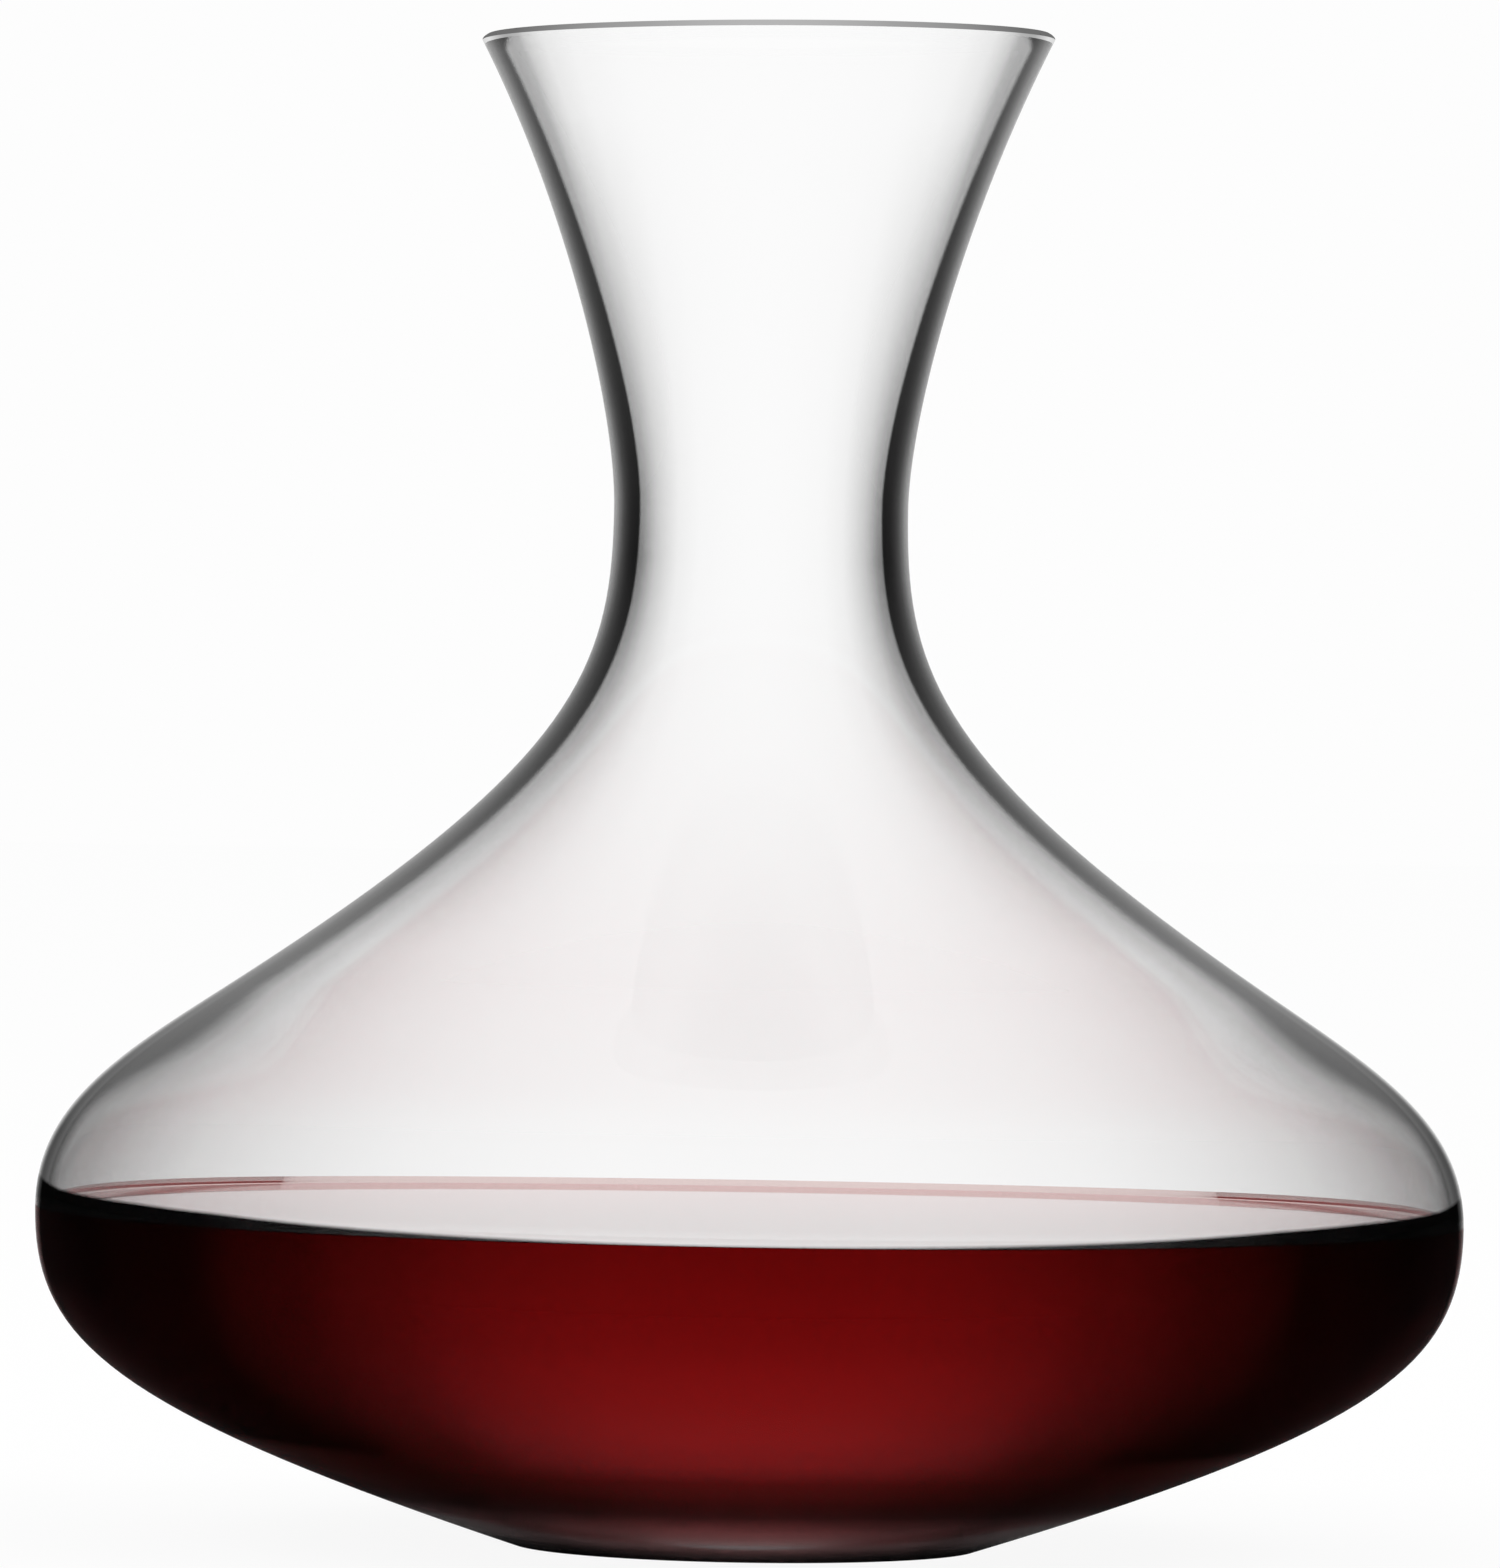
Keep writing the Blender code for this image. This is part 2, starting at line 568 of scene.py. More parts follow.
    def on_the_way_in(
        self, tree: bpy.types.NodeTree, share: bpy.types.NodeSocket
    ) -> bpy.types.NodeSocket:
        """Use the share for light that meets the skin from outside, and leave light that leaves through
        it without painted shade.

        Args:
            tree: The node tree to add to.
            share: The socket that holds the share.

        Returns:
            The socket that holds the share for light on either side.
        """
        leaving = add_node(tree, "ShaderNodeNewGeometry").outputs["Backfacing"]
        links = {"Factor": leaving, 2: share}
        return add_node(tree, "ShaderNodeMix", {"data_type": "FLOAT", 3: 1.0}, links).outputs[0]

    def material(self) -> bpy.types.Material:
        """Build the glass, with painted shade mixed in where only a share of the glass is left.

        Returns:
            The finished material.
        """
        material, tree, surface = new_material(self.name)
        glass = self.glass(tree)
        unshaded_share = self.unshaded_share(tree)
        if unshaded_share is None:
            tree.links.new(glass, surface)
            return material
        # painted shade: a black matt shader mixed into the glass wherever its share is below 1
        painted_shade = add_node(
            tree,
            "ShaderNodeBsdfPrincipled",
            {"Base Color": linear(self.painted_shade), "Roughness": 1.0, "Specular IOR Level": 0.0},
        )
        blend = add_node(tree, "ShaderNodeMixShader", {}, {0: unshaded_share, 1: painted_shade.outputs[0], 2: glass})
        tree.links.new(blend.outputs[0], surface)
        return material


@dataclass(frozen=True)
class DryInsideGlass(BlownGlass):
    """The inner skin above the wine, which gives the eye a line of painted shade inside each edge of
    the body.

    from_air is for light that meets the skin from inside the bowl, and from_glass for light that meets
    it from within the wall, where the painted shade stands in for a wall seen aslant turning it back.
    """

    # painted shade curves, by how far the skin turns away
    from_air: Curve = (
        (0.0, 1.0),
        (0.6, 1.0),
        (1.0, 0.9),
    )
    from_glass: Curve = (
        (0.0, 1.0),
        (0.24, 1.0),
        (0.247, 0.016),
        (0.286, 0.019),
        (0.315, 0.053),
        (0.330, 0.10),
        (0.362, 0.28),
        (0.380, 0.39),
        (0.400, 0.53),
    )

    def unshaded_share(self, tree: bpy.types.NodeTree) -> bpy.types.NodeSocket:
        """Give the share of glass left without painted shade on the inner skin, on the air side and on
        the glass side.

        Args:
            tree: The node tree to add to.

        Returns:
            The socket that holds the share of glass left without painted shade.
        """
        turned = add_node(tree, "ShaderNodeLayerWeight", {"Blend": PLAIN_FACING}).outputs["Facing"]
        side = add_node(tree, "ShaderNodeNewGeometry")
        air = add_node(tree, "ShaderNodeValToRGB", {}, {0: turned}, self.from_air)
        glass = add_node(tree, "ShaderNodeValToRGB", {}, {0: turned}, self.from_glass)
        links = {"Factor": side.outputs["Backfacing"], 2: air.outputs[0], 3: glass.outputs[0]}
        return add_node(tree, "ShaderNodeMix", {"data_type": "FLOAT"}, links).outputs[0]


@dataclass(frozen=True)
class DryOutsideGlass(BlownGlass):
    """The outer skin above the wine, with painted shade that darkens it to both sides, more softly in
    the thin mouth.

    It also carries a painted shade line along the edge of the wine's film. film_reach says what share
    of film_height that edge is seen to reach, and the film edge curve what share of glass it leaves
    without painted shade, by how far the body turns away.
    """

    film_height: float = 4.4 * MM
    film_blur: float = 0.25 * MM
    bowl_height: float = 56 * MM
    shoulder_height: float = 82 * MM
    neck_height: float = 135 * MM
    mouth_height: float = 195 * MM
    film_reach: Curve = (
        (0.0, 0.03),
        (0.093, 0.14),
        (0.196, 0.26),
        (0.337, 0.44),
        (0.405, 0.49),
        (0.490, 0.56),
        (0.592, 0.61),
        (0.748, 0.71),
        (0.910, 0.93),
        (1.0, 1.0),
    )
    # painted shade along the film's edge, by how far the body turns away
    film_edge_shade: Curve = (
        (0.0, 0.06),
        (0.134, 0.04),
        (0.223, 0.015),
        (0.374, 0.004),
        (0.6, 0.003),
        (0.88, 0.003),
        (0.92, 0.1),
        (0.96, 0.4),
        (1.0, 0.6),
    )
    # painted shade to both sides, for the bowl, shoulder, neck and mouth
    bowl: Curve = (
        (0.0, 0.97),
        (0.02, 0.97),
        (0.134, 0.91),
        (0.24, 0.82),
        (0.39, 0.68),
        (0.50, 0.54),
        (0.62, 0.40),
        (0.70, 0.34),
        (0.764, 0.30),
        (0.80, 0.24),
        (0.82, 0.19),
        (0.84, 0.26),
        (0.87, 0.17),
        (0.90, 0.13),
        (0.923, 0.25),
        (0.96, 0.6),
        (1.0, 0.8),
    )
    shoulder: Curve = (
        (0.0, 0.99),
        (0.09, 0.97),
        (0.20, 0.92),
        (0.30, 0.86),
        (0.40, 0.78),
        (0.47, 0.70),
        (0.55, 0.58),
        (0.64, 0.50),
        (0.74, 0.48),
        (0.80, 0.47),
        (0.86, 0.5),
        (0.93, 0.5),
        (1.0, 0.6),
    )
    neck: Curve = (
        (0.0, 0.99),
        (0.09, 0.96),
        (0.17, 0.88),
        (0.29, 0.57),
        (0.35, 0.37),
        (0.39, 0.25),
        (0.43, 0.20),
        (0.46, 0.17),
        (0.52, 0.19),
        (0.57, 0.24),
        (0.60, 0.29),
        (0.64, 0.33),
        (0.676, 0.40),
        (0.72, 0.46),
        (0.77, 0.54),
        (0.90, 0.58),
        (1.0, 0.7),
    )
    mouth: Curve = (
        (0.0, 1.0),
        (0.15, 0.98),
        (0.29, 0.93),
        (0.40, 0.83),
        (0.437, 0.75),
        (0.49, 0.63),
        (0.533, 0.48),
        (0.60, 0.42),
        (0.64, 0.45),
        (0.665, 0.50),
        (0.715, 0.60),
        (0.80, 0.78),
        (0.874, 0.75),
        (1.0, 0.7),
    )

    def unshaded_share(self, tree: bpy.types.NodeTree) -> bpy.types.NodeSocket:
        """Give the share of glass left without painted shade on the outer skin, on the light's way in.

        Args:
            tree: The node tree to add to.

        Returns:
            The socket that holds the share of glass left without painted shade.
        """
        place, height = self.place_and_height(tree)
        turned = self.turned_sideways(tree, place)
        bands = (
            (self.bowl_height, self.shoulder_height, self.shoulder),
            (self.shoulder_height, self.neck_height, self.neck),
            (self.neck_height, self.mouth_height, self.mouth),
        )
        share = self.blended(tree, height, turned, self.bowl, bands)
        return self.on_the_way_in(tree, self.painted_film_shade(tree, share, height, turned))

    def painted_film_shade(
        self,
        tree: bpy.types.NodeTree,
        share: bpy.types.NodeSocket,
        height: bpy.types.NodeSocket,
        turned: bpy.types.NodeSocket,
    ) -> bpy.types.NodeSocket:
        """Paint shade on the skin where the film of wine that climbs the glass is seen edge on.

        Args:
            tree: The node tree to add to.
            share: The socket that holds the share of glass left without painted shade, before the
                film's line.
            height: The socket that holds the height of the place on the object.
            turned: The socket that holds how far the round of the body turns away.

        Returns:
            The socket that holds the share left without painted shade.
        """
        reach = add_node(tree, "ShaderNodeValToRGB", {}, {0: turned}, self.film_reach).outputs[0]
        climbed = {1: -self.film_height, 2: -WINE_LEVEL, "operation": "MULTIPLY_ADD"}
        line = add_node(tree, "ShaderNodeMath", climbed, {0: reach}).outputs[0]
        over = add_node(tree, "ShaderNodeMath", {"operation": "ADD"}, {0: height, 1: line}).outputs[0]
        reached = {"From Min": -self.film_blur, "From Max": self.film_blur}
        clear = add_node(tree, "ShaderNodeMapRange", reached, {"Value": over}).outputs[0]
        edge = add_node(tree, "ShaderNodeValToRGB", {}, {0: turned}, self.film_edge_shade).outputs[0]
        links = {"Factor": clear, 2: edge, 3: share}
        return add_node(tree, "ShaderNodeMix", {"data_type": "FLOAT"}, links).outputs[0]


@dataclass(frozen=True)
class WetOutsideGlass(BlownGlass):
    """The outer skin with wine behind it, clear in the middle and with painted shade near black at its
    sides.

    by_height and purity start from the height as a share of the height that they span. by_height gives
    painted shade bands, as the share of glass left without painted shade, and purity is 1 where the
    skin is colourless and 0 where it is painted red.
    """

    # the wine's red, painted on the glass skin as the glow of light through the heel
    red: str = "#ff0000"
    ior: float = 1.045
    height: float = 50 * MM
    foot_height: float = 9 * MM
    heel_height: float = 16 * MM
    belly_height: float = 38 * MM
    # painted shade bands over the height of the heel and belly
    by_height: Curve = (
        (0.0, 0.009),
        (0.008, 0.011),
        (0.026, 0.041),
        (0.050, 0.13),
        (0.064, 0.18),
        (0.080, 0.18),
        (0.100, 0.19),
        (0.152, 0.06),
        (0.192, 0.071),
        (0.256, 0.184),
        (0.318, 0.54),
        (0.400, 0.78),
        (0.500, 0.88),
        (0.580, 0.89),
        (0.640, 0.82),
        (0.760, 0.77),
        (0.910, 0.66),
    )
    purity: Curve = (
        (0.150, 1.0),
        (0.192, 0.31),
        (0.256, 0.09),
        (0.320, 0.18),
        (0.440, 0.70),
        (0.560, 1.0),
    )
    # painted shade to both sides, for the foot, heel and belly
    foot: Curve = (
        (0.0, 1.0),
        (0.050, 0.65),
        (0.080, 0.5),
        (0.200, 0.28),
        (0.250, 0.2),
        (0.460, 0.25),
        (0.610, 0.25),
        (1.0, 0.45),
    )
    heel: Curve = (
        (0.0, 1.0),
        (0.050, 0.65),
        (0.120, 0.25),
        (0.153, 0.14),
        (0.267, 0.03),
        (0.350, 0.015),
        (0.550, 0.014),
        (0.710, 0.03),
        (1.0, 0.1),
    )
    belly: Curve = (
        (0.0, 1.0),
        (0.020, 0.95),
        (0.063, 0.72),
        (0.128, 0.39),
        (0.223, 0.14),
        (0.374, 0.018),
        (0.6, 0.008),
        (0.88, 0.01),
        (0.92, 0.15),
        (0.96, 0.4),
        (1.0, 0.6),
    )

    def over_height(
        self, tree: bpy.types.NodeTree, height: bpy.types.NodeSocket, curve: Curve
    ) -> bpy.types.NodeSocket:
        """Read a curve off the height.

        Args:
            tree: The node tree to add to.
            height: The socket that holds the height of the place on the object.
            curve: The curve to read.

        Returns:
            The socket that holds the curve's value.
        """
        spanned = {"From Max": self.height}
        share = add_node(tree, "ShaderNodeMapRange", spanned, {"Value": height}).outputs[0]
        return add_node(tree, "ShaderNodeValToRGB", {}, {0: share}, curve).outputs[0]

    def tint(self, tree: bpy.types.NodeTree) -> bpy.types.NodeSocket:
        """Paint the skin red on the light's way in, where little wine lies behind the heel: the wine's
        own red, painted on the glass as the glow of light coming through it.

        Args:
            tree: The node tree to add to.

        Returns:
            The socket that holds the colour.
        """
        height = self.place_and_height(tree)[1]
        pale = self.over_height(tree, height, self.purity)
        leaving = add_node(tree, "ShaderNodeNewGeometry").outputs["Backfacing"]
        links = {0: pale, 1: leaving}
        clear = add_node(tree, "ShaderNodeMath", {"operation": "MAXIMUM"}, links).outputs[0]
        colours = {"data_type": "RGBA", 6: linear(self.red), 7: linear(self.colour)}
        return add_node(tree, "ShaderNodeMix", colours, {"Factor": clear}).outputs[2]

    def unshaded_share(self, tree: bpy.types.NodeTree) -> bpy.types.NodeSocket:
        """Give the share of glass left without painted shade on the outer skin, on the light's way in.

        Args:
            tree: The node tree to add to.

        Returns:
            The socket that holds the share of glass left without painted shade.
        """
        place, height = self.place_and_height(tree)
        bands = (
            (self.foot_height, self.heel_height, self.heel),
            (self.heel_height, self.belly_height, self.belly),
        )
        upright = self.over_height(tree, height, self.by_height)
        sideways = self.blended(tree, height, self.turned_sideways(tree, place), self.foot, bands)
        links = {0: upright, 1: sideways}
        share = add_node(tree, "ShaderNodeMath", {"operation": "MULTIPLY"}, links).outputs[0]
        return self.on_the_way_in(tree, share)


@dataclass(frozen=True)
class LipGlass(BlownGlass):
    """The outer half of the lip, a grey line of painted shade against the white that darkens to both
    sides.
    """

    # painted shade across the lip, by how far the body turns away
    line: Curve = (
        (0.0, 0.48),
        (0.1, 0.37),
        (0.2, 0.32),
        (0.38, 0.22),
        (0.55, 0.16),
        (0.75, 0.16),
        (1.0, 0.16),
    )

    def unshaded_share(self, tree: bpy.types.NodeTree) -> bpy.types.NodeSocket:
        """Give the share of glass that the lip's painted shade leaves, on the light's way in.

        Args:
            tree: The node tree to add to.

        Returns:
            The socket that holds the share of glass left without painted shade.
        """
        turned = self.turned_sideways(tree, self.place_and_height(tree)[0])
        line = add_node(tree, "ShaderNodeValToRGB", {}, {0: turned}, self.line).outputs[0]
        return self.on_the_way_in(tree, line)


@dataclass(frozen=True)
class RedWineFinish:
    """Young red wine, which is a clear liquid that soaks up green and blue at once and red more slowly.

    It gives the eye a garnet glow where light comes through from behind, a pale sheen on its top and a
    pink film where it climbs the glass. One material covers the whole skin, so that light which enters
    through one stretch and leaves through another stops being soaked up. Its skin lies against glass
    nearly everywhere and turns back next to no light there, so its index is 1, and a coat gives the
    free top its sheen. film and depths are the colours for light that enters the climbing film and the
    top.
    """

    name: str = "red_wine"
    ior: float = 1.0
    clear: str = "#ffffff"
    film: str = "#cdaca8"
    depths: str = "#89191f"
    soaked: str = "#db3038"
    density: float = 31.5
    tolerance: float = 0.1

    def entering(
        self,
        tree: bpy.types.NodeTree,
        skin: bpy.types.NodeSocket,
        stretch: Skin,
    ) -> Sockets:
        """Find one stretch of the wine's skin.

        Args:
            tree: The node tree to add to.
            skin: The socket that holds the skin number.
            stretch: The stretch to find.

        Returns:
            The socket that holds 1 all over the stretch, and the one that holds it for entering light
            only.
        """
        same = {"operation": "COMPARE", 1: stretch.value, 2: self.tolerance}
        found = add_node(tree, "ShaderNodeMath", same, {0: skin}).outputs[0]
        leaving = add_node(tree, "ShaderNodeNewGeometry").outputs["Backfacing"]
        entered = {0: found, 1: leaving}
        return found, add_node(tree, "ShaderNodeMath", {"operation": "SUBTRACT"}, entered).outputs[0]

    def material(self) -> bpy.types.Material:
        """Build the wine from the skin numbers that its mesh carries.

        Returns:
            The finished material.
        """
        material, tree, surface = new_material(self.name)
        skin = add_node(tree, "ShaderNodeAttribute", {"attribute_name": SKIN_LAYER}).outputs["Fac"]
        top, into_top = self.entering(tree, skin, Skin.TOP)
        _, into_film = self.entering(tree, skin, Skin.MENISCUS)
        pink = add_node(
            tree,
            "ShaderNodeMix",
            {"data_type": "RGBA", 6: linear(self.clear), 7: linear(self.film)},
            {"Factor": into_film},
        )
        tint = add_node(
            tree,
            "ShaderNodeMix",
            {"data_type": "RGBA", 7: linear(self.depths)},
            {"Factor": into_top, 6: pink.outputs[2]},
        )
        wine = add_node(
            tree,
            "ShaderNodeBsdfPrincipled",
            {"Roughness": 0.0, "IOR": self.ior, "Transmission Weight": 1.0},
            {"Base Color": tint.outputs[2], "Coat Weight": top},
        )
        soaked = {"Color": linear(self.soaked), "Density": self.density}
        soak = add_node(tree, "ShaderNodeVolumeAbsorption", soaked)
        tree.links.new(wine.outputs[0], surface)
        tree.links.new(soak.outputs[0], surface.node.inputs["Volume"])
        return material


# ------------------------------------------------------------------ the pieces


@dataclass
class GlassVessel:
    """The blown decanter: one piece of glass with a thick base, a thin bowl and a flared mouth.

    lip_height says how far down the inside the lip's finish runs. slant is in degrees, and slant_drop
    keeps the high side of the mouth within the height.
    """

    form: DecanterForm
    lathe: Lathe
    wine_level: float
    wet_line: float
    name: str = "decanter_glass"
    lip_height: float = 0.8 * MM
    slant: float = 0.97
    slant_from: float = 150 * MM
    slant_drop: float = 0.17 * MM
    # four of these finishes mix painted shade into the glass; the two plain inside finishes carry none
    finishes: dict[Wall, BlownGlass] = field(
        default_factory=lambda: {
            Wall.DRY_OUTSIDE: DryOutsideGlass("blown_glass_outside"),
            Wall.WET_OUTSIDE: WetOutsideGlass("blown_glass_outside_by_wine"),
            Wall.DRY_INSIDE: DryInsideGlass("blown_glass_inside"),
            Wall.WET_INSIDE: BlownGlass("blown_glass_inside_by_wine", ior=1.0),
            Wall.LIP_OUTSIDE: LipGlass("blown_glass_lip", ior=1.0),
            Wall.LIP_INSIDE: BlownGlass("blown_glass_lip_inside", ior=1.0),
        }
    )

    def build(self) -> bpy.types.Object:
        """Turn the glass and give each stretch of its skin a finish.

        Returns:
            The finished piece.
        """
        outside = self.form.outside()
        inside = self.form.inside()
        outer = self.cut_at([Vector((0.0, 0.0)), *outside], self.wine_level)
        lip = self.form.lip(outside[-1], inside[-1])
        lip_foot = inside[-1].y - self.lip_height
        inner = self.cut_at(self.cut_at([*reversed(inside)], lip_foot), self.wet_line)
        marks = [
            self.mark(low, high, self.wine_level, Wall.WET_OUTSIDE, Wall.DRY_OUTSIDE)
            for low, high in zip(outer, outer[1:])
        ]
        for step in range(len(lip) + 1):
            marks.append((Wall.LIP_OUTSIDE if 2 * step <= len(lip) else Wall.LIP_INSIDE).value)
        for low, high in zip(inner, inner[1:]):
            dry = Wall.LIP_INSIDE if high.y > lip_foot - WELD else Wall.DRY_INSIDE
            marks.append(self.mark(low, high, self.wet_line, Wall.WET_INSIDE, dry))
        piece = self.lathe.turn(self.name, outer + lip + inner, marks)
        self.slant_mouth(piece)
        for wall in Wall:
            piece.data.materials.append(self.finishes[wall].material())
        return piece

    def slant_mouth(self, piece: bpy.types.Object) -> None:
        """Cut the mouth a little askew, lower on its left, as blown work often is.

        Args:
            piece: The piece's object.
        """
        rise = math.tan(math.radians(self.slant))
        for corner in piece.data.vertices:
            share = (corner.co.z - self.slant_from) / (self.form.height - self.slant_from)
            if share > 0:
                corner.co.z += share**2 * (corner.co.x * rise - self.slant_drop)

    def cut_at(self, line: list[Vector], height: float) -> list[Vector]:
        """Add a point to a line where it crosses a height.

        Args:
            line: The points of the line, as radius and height.
            height: The height to cut at.

        Returns:
            The line with the crossing in it, or as it was if it stays on one side.
        """
        for number, (start, end) in enumerate(zip(line, line[1:])):
            if (start.y - height) * (end.y - height) < 0:
                crossing = start.lerp(end, (height - start.y) / (end.y - start.y))
                return [*line[: number + 1], crossing, *line[number + 1 :]]
        return line

    def mark(self, start: Vector, end: Vector, line: float, below: Wall, above: Wall) -> int:
        """Give the material number of a stretch that lies below or above a line."""
        return (below if (start.y + end.y) / 2 < line else above).value

    def dress(self, piece: bpy.types.Object) -> None:
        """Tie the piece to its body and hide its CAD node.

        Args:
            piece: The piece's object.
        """
        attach(piece, BODY)
        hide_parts("glass_vessel")


@dataclass
class RedWine:
    """The wine in the bowl, level on top, with a rim that creeps up the glass.

    film is how far the rim leans in over its creep, fillet is the radius that joins it to the flat top,
    and flat_rings are narrow rings of the flat top beside it. The wine's skin lies sink deep in the
    glass.
    """

    form: DecanterForm
    lathe: Lathe
    name: str = "red_wine_body"
    level: float = WINE_LEVEL
    creep: float = 1.1 * MM
    film: float = 0.25 * MM
    fillet: float = 0.7 * MM
    film_steps: int = 4
    fillet_steps: int = 7
    flat_rings: tuple[float, ...] = (0.3 * MM, 3.0 * MM)
    sink: float = 0.05 * MM
    finish: RedWineFinish = RedWineFinish()

    @property
    def top(self) -> float:
        """The highest line that the wine wets."""
        return self.level + self.creep

    def build(self) -> bpy.types.Object:
        """Turn the wine, number each stretch of its skin, and give it its finish.

        Returns:
            The finished piece.
        """
        wall = self.form.inside(self.sink)
        wet = [point for point in wall if point.y < self.top]
        below, above = wall[len(wet) - 1], wall[len(wet)]
        edge = below.lerp(above, (self.top - below.y) / (above.y - below.y))
        bend = Vector((edge.x - self.film, self.level + self.fillet))
        rim = [edge.lerp(bend, step / self.film_steps) for step in range(self.film_steps)]
        for step in range(self.fillet_steps + 1):
            angle = math.pi / 2 * step / self.fillet_steps
            reach = Vector((math.cos(angle) - 1, -math.sin(angle)))
            rim.append(bend + reach * self.fillet)
        flat = [rim[-1] - Vector((ring, 0.0)) for ring in self.flat_rings]
        section = [*wet, *rim, *flat, Vector((0.0, self.level))]
        marks = [Skin.BODY.value] * len(wet) + [Skin.MENISCUS.value] * (len(rim) - 1)
        marks += [Skin.TOP.value] * (len(flat) + 1)
        piece = self.lathe.turn(self.name, section, marks)
        piece.data.materials.append(self.finish.material())
        piece.data.polygons.foreach_set("material_index", [0] * len(piece.data.polygons))
        return piece

    def dress(self, piece: bpy.types.Object) -> None:
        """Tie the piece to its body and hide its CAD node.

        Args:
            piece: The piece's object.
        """
        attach(piece, BODY)
        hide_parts("red_wine")


# ------------------------------------------------------------------ the studio


@dataclass(frozen=True)
class SoftLamp:
    """A large square lamp over the table, which doesn't itself show in the glass."""

    name: str
    place: tuple[float, float, float]
    power: float = 16.0
    size: float = 1.2
    aim: tuple[float, float, float] = (0.0, 0.0, 80 * MM)

    def build(self) -> None:
        """Hang the lamp and turn it to the decanter."""
        light = bpy.data.lights.new(self.name, "AREA")
        light.shape = "SQUARE"
        light.size = self.size
        light.energy = self.power
        lamp = bpy.data.objects.new(self.name, light)
        lamp.location = self.place
        direction = Vector(self.aim) - Vector(self.place)
        lamp.rotation_euler = direction.to_track_quat("-Z", "Y").to_euler()
        lamp.visible_camera = False
        lamp.visible_glossy = False
        lamp.visible_transmission = False
        bpy.context.collection.objects.link(lamp)


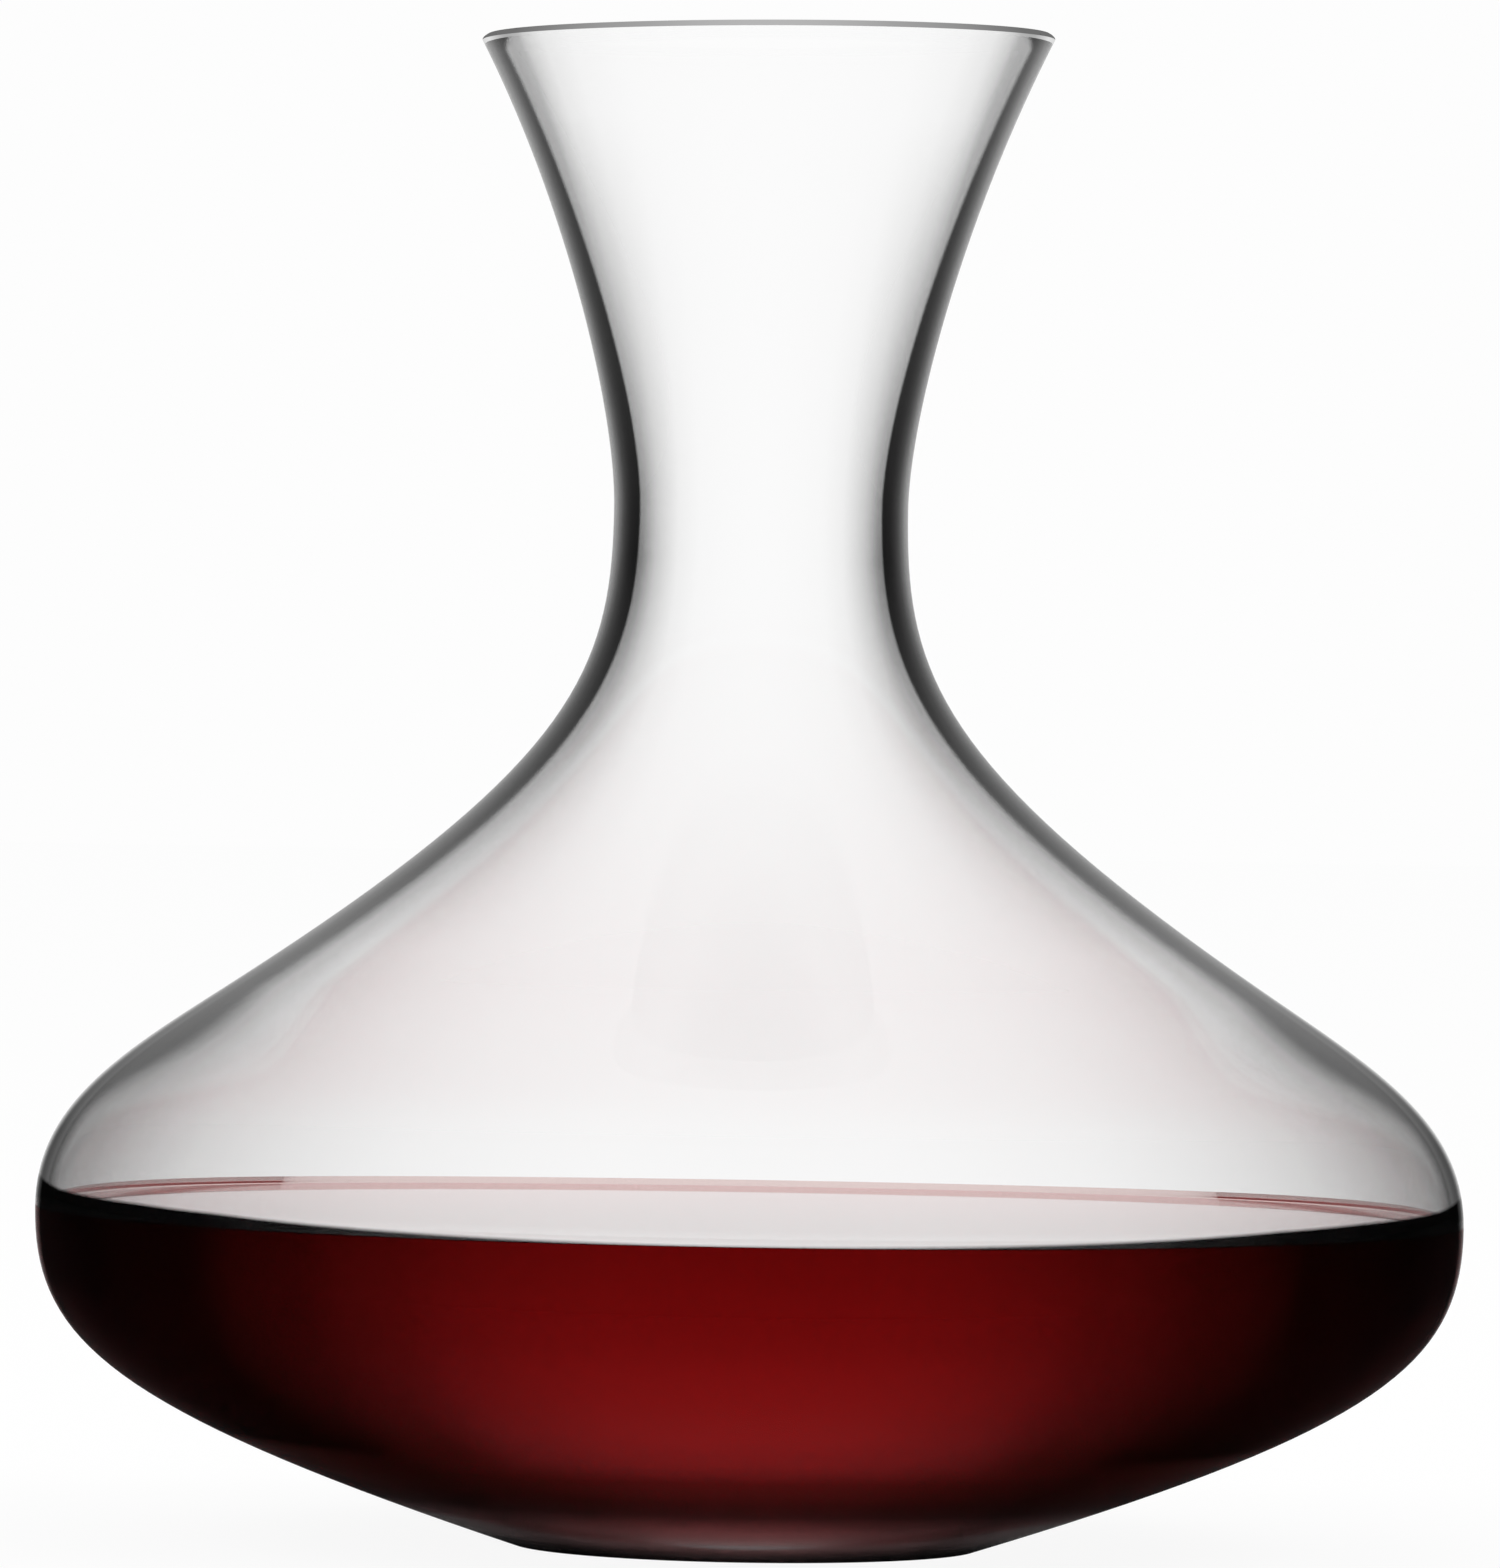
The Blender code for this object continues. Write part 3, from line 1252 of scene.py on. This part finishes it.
@dataclass
class Studio:
    """A white table and a white surround, soft lamps, and a camera at table height.

    shadow_share says how much of the table's own light and shadow shows, and surround_light how
    strongly the surround lights the decanter. aim is the point that the camera looks at, across and up.
    """

    floor_size: float = 12.0
    table: str = "#f2f2f2"
    table_glow: str = "#ffffff"
    shadow_share: float = 0.08
    surround: str = "#fdfdfd"
    surround_glow: str = "#ffffff"
    surround_light: float = 0.8
    lamps: tuple[SoftLamp, ...] = (
        SoftLamp("soft_lamp_left", (-1.6, -0.9, 1.7)),
        SoftLamp("soft_lamp_right", (1.6, -0.6, 1.7)),
    )
    camera_distance: float = 1.66
    camera_height: float = 121 * MM
    camera_roll: float = 0.95
    camera_reach: float = 50.0
    aim: tuple[float, float] = (-0.9 * MM, 104.4 * MM)
    view_height: float = 214.8 * MM
    film: float = 36.0
    clear_bounces: int = 32
    gloss_bounces: int = 16

    def background_rays(self, tree: bpy.types.NodeTree) -> bpy.types.NodeSocket:
        """Give 1 for a ray from the camera or through glass, and 0 for a ray that lights a surface.

        Args:
            tree: The node tree to add to.

        Returns:
            The socket that holds the share.
        """
        path = add_node(tree, "ShaderNodeLightPath")
        seen = add_node(
            tree,
            "ShaderNodeMath",
            {"operation": "MAXIMUM"},
            {0: path.outputs["Is Camera Ray"], 1: path.outputs["Is Glossy Ray"]},
        )
        shown = add_node(
            tree,
            "ShaderNodeMath",
            {"operation": "MAXIMUM"},
            {0: seen.outputs[0], 1: path.outputs["Is Transmission Ray"]},
        )
        return shown.outputs[0]

    def build_floor(self) -> None:
        """Lay the white table."""
        shape = bmesh.new()
        bmesh.ops.create_grid(shape, x_segments=1, y_segments=1, size=self.floor_size / 2)
        mesh = bpy.data.meshes.new("white_table")
        shape.to_mesh(mesh)
        shape.free()
        floor = bpy.data.objects.new("white_table", mesh)
        bpy.context.collection.objects.link(floor)
        material, tree, surface = new_material("matt_white_acrylic_sheet")
        matt = add_node(tree, "ShaderNodeBsdfDiffuse", {"Color": linear(self.table)})
        white = {"Color": linear(self.table_glow), "Strength": 1.0}
        glow = add_node(tree, "ShaderNodeEmission", white)
        share = add_node(
            tree,
            "ShaderNodeMath",
            {"operation": "MULTIPLY", 1: 1 - self.shadow_share},
            {0: self.background_rays(tree)},
        )
        links = {0: share.outputs[0], 1: matt.outputs[0], 2: glow.outputs[0]}
        blend = add_node(tree, "ShaderNodeMixShader", {}, links)
        tree.links.new(blend.outputs[0], surface)
        mesh.materials.append(material)

    def build_world(self) -> None:
        """Surround the table with plain white."""
        world = bpy.data.worlds.new("white_surround")
        bpy.context.scene.world = world
        world.use_nodes = True
        tree = world.node_tree
        tree.nodes.clear()
        output = add_node(tree, "ShaderNodeOutputWorld")
        lighting = {"Color": linear(self.surround_glow), "Strength": self.surround_light}
        lit = add_node(tree, "ShaderNodeBackground", lighting)
        shown = {"Color": linear(self.surround), "Strength": 1.0}
        seen = add_node(tree, "ShaderNodeBackground", shown)
        links = {0: self.background_rays(tree), 1: lit.outputs[0], 2: seen.outputs[0]}
        blend = add_node(tree, "ShaderNodeMixShader", {}, links)
        tree.links.new(blend.outputs[0], output.inputs["Surface"])

    def build_camera(self) -> None:
        """Set up the camera."""
        data = bpy.data.cameras.new("camera")
        data.sensor_width = self.film
        data.lens = self.film * self.camera_distance / self.view_height
        data.clip_end = self.camera_reach
        camera = bpy.data.objects.new("camera", data)
        place = Vector((0.0, -self.camera_distance, self.camera_height))
        target = Vector((self.aim[0], 0.0, self.aim[1]))
        turn = (target - place).to_track_quat("-Z", "Y").to_matrix().to_4x4()
        roll = Matrix.Rotation(math.radians(self.camera_roll), 4, "Z")
        camera.matrix_world = Matrix.Translation(place) @ turn @ roll
        bpy.context.collection.objects.link(camera)
        bpy.context.scene.camera = camera

    def build(self) -> None:
        """Build the whole studio."""
        self.build_floor()
        self.build_world()
        for lamp in self.lamps:
            lamp.build()
        self.build_camera()
        scene = bpy.context.scene
        scene.view_settings.view_transform = "Standard"
        scene.cycles.max_bounces = self.clear_bounces
        scene.cycles.transmission_bounces = self.clear_bounces
        scene.cycles.glossy_bounces = self.gloss_bounces


def main() -> None:
    """Build the decanter, its wine and the studio, and report each piece."""
    logging.basicConfig(level=logging.INFO, format="%(name)s: %(message)s")
    form = DecanterForm()
    lathe = Lathe()
    wine = RedWine(form, lathe)
    vessel = GlassVessel(form, lathe, wine.level, wine.top)
    for part in (vessel, wine):
        piece = part.build()
        part.dress(piece)
        LOG.info("%s: %d faces", piece.name, len(piece.data.polygons))
    Studio().build()


if __name__ == "__main__":
    main()
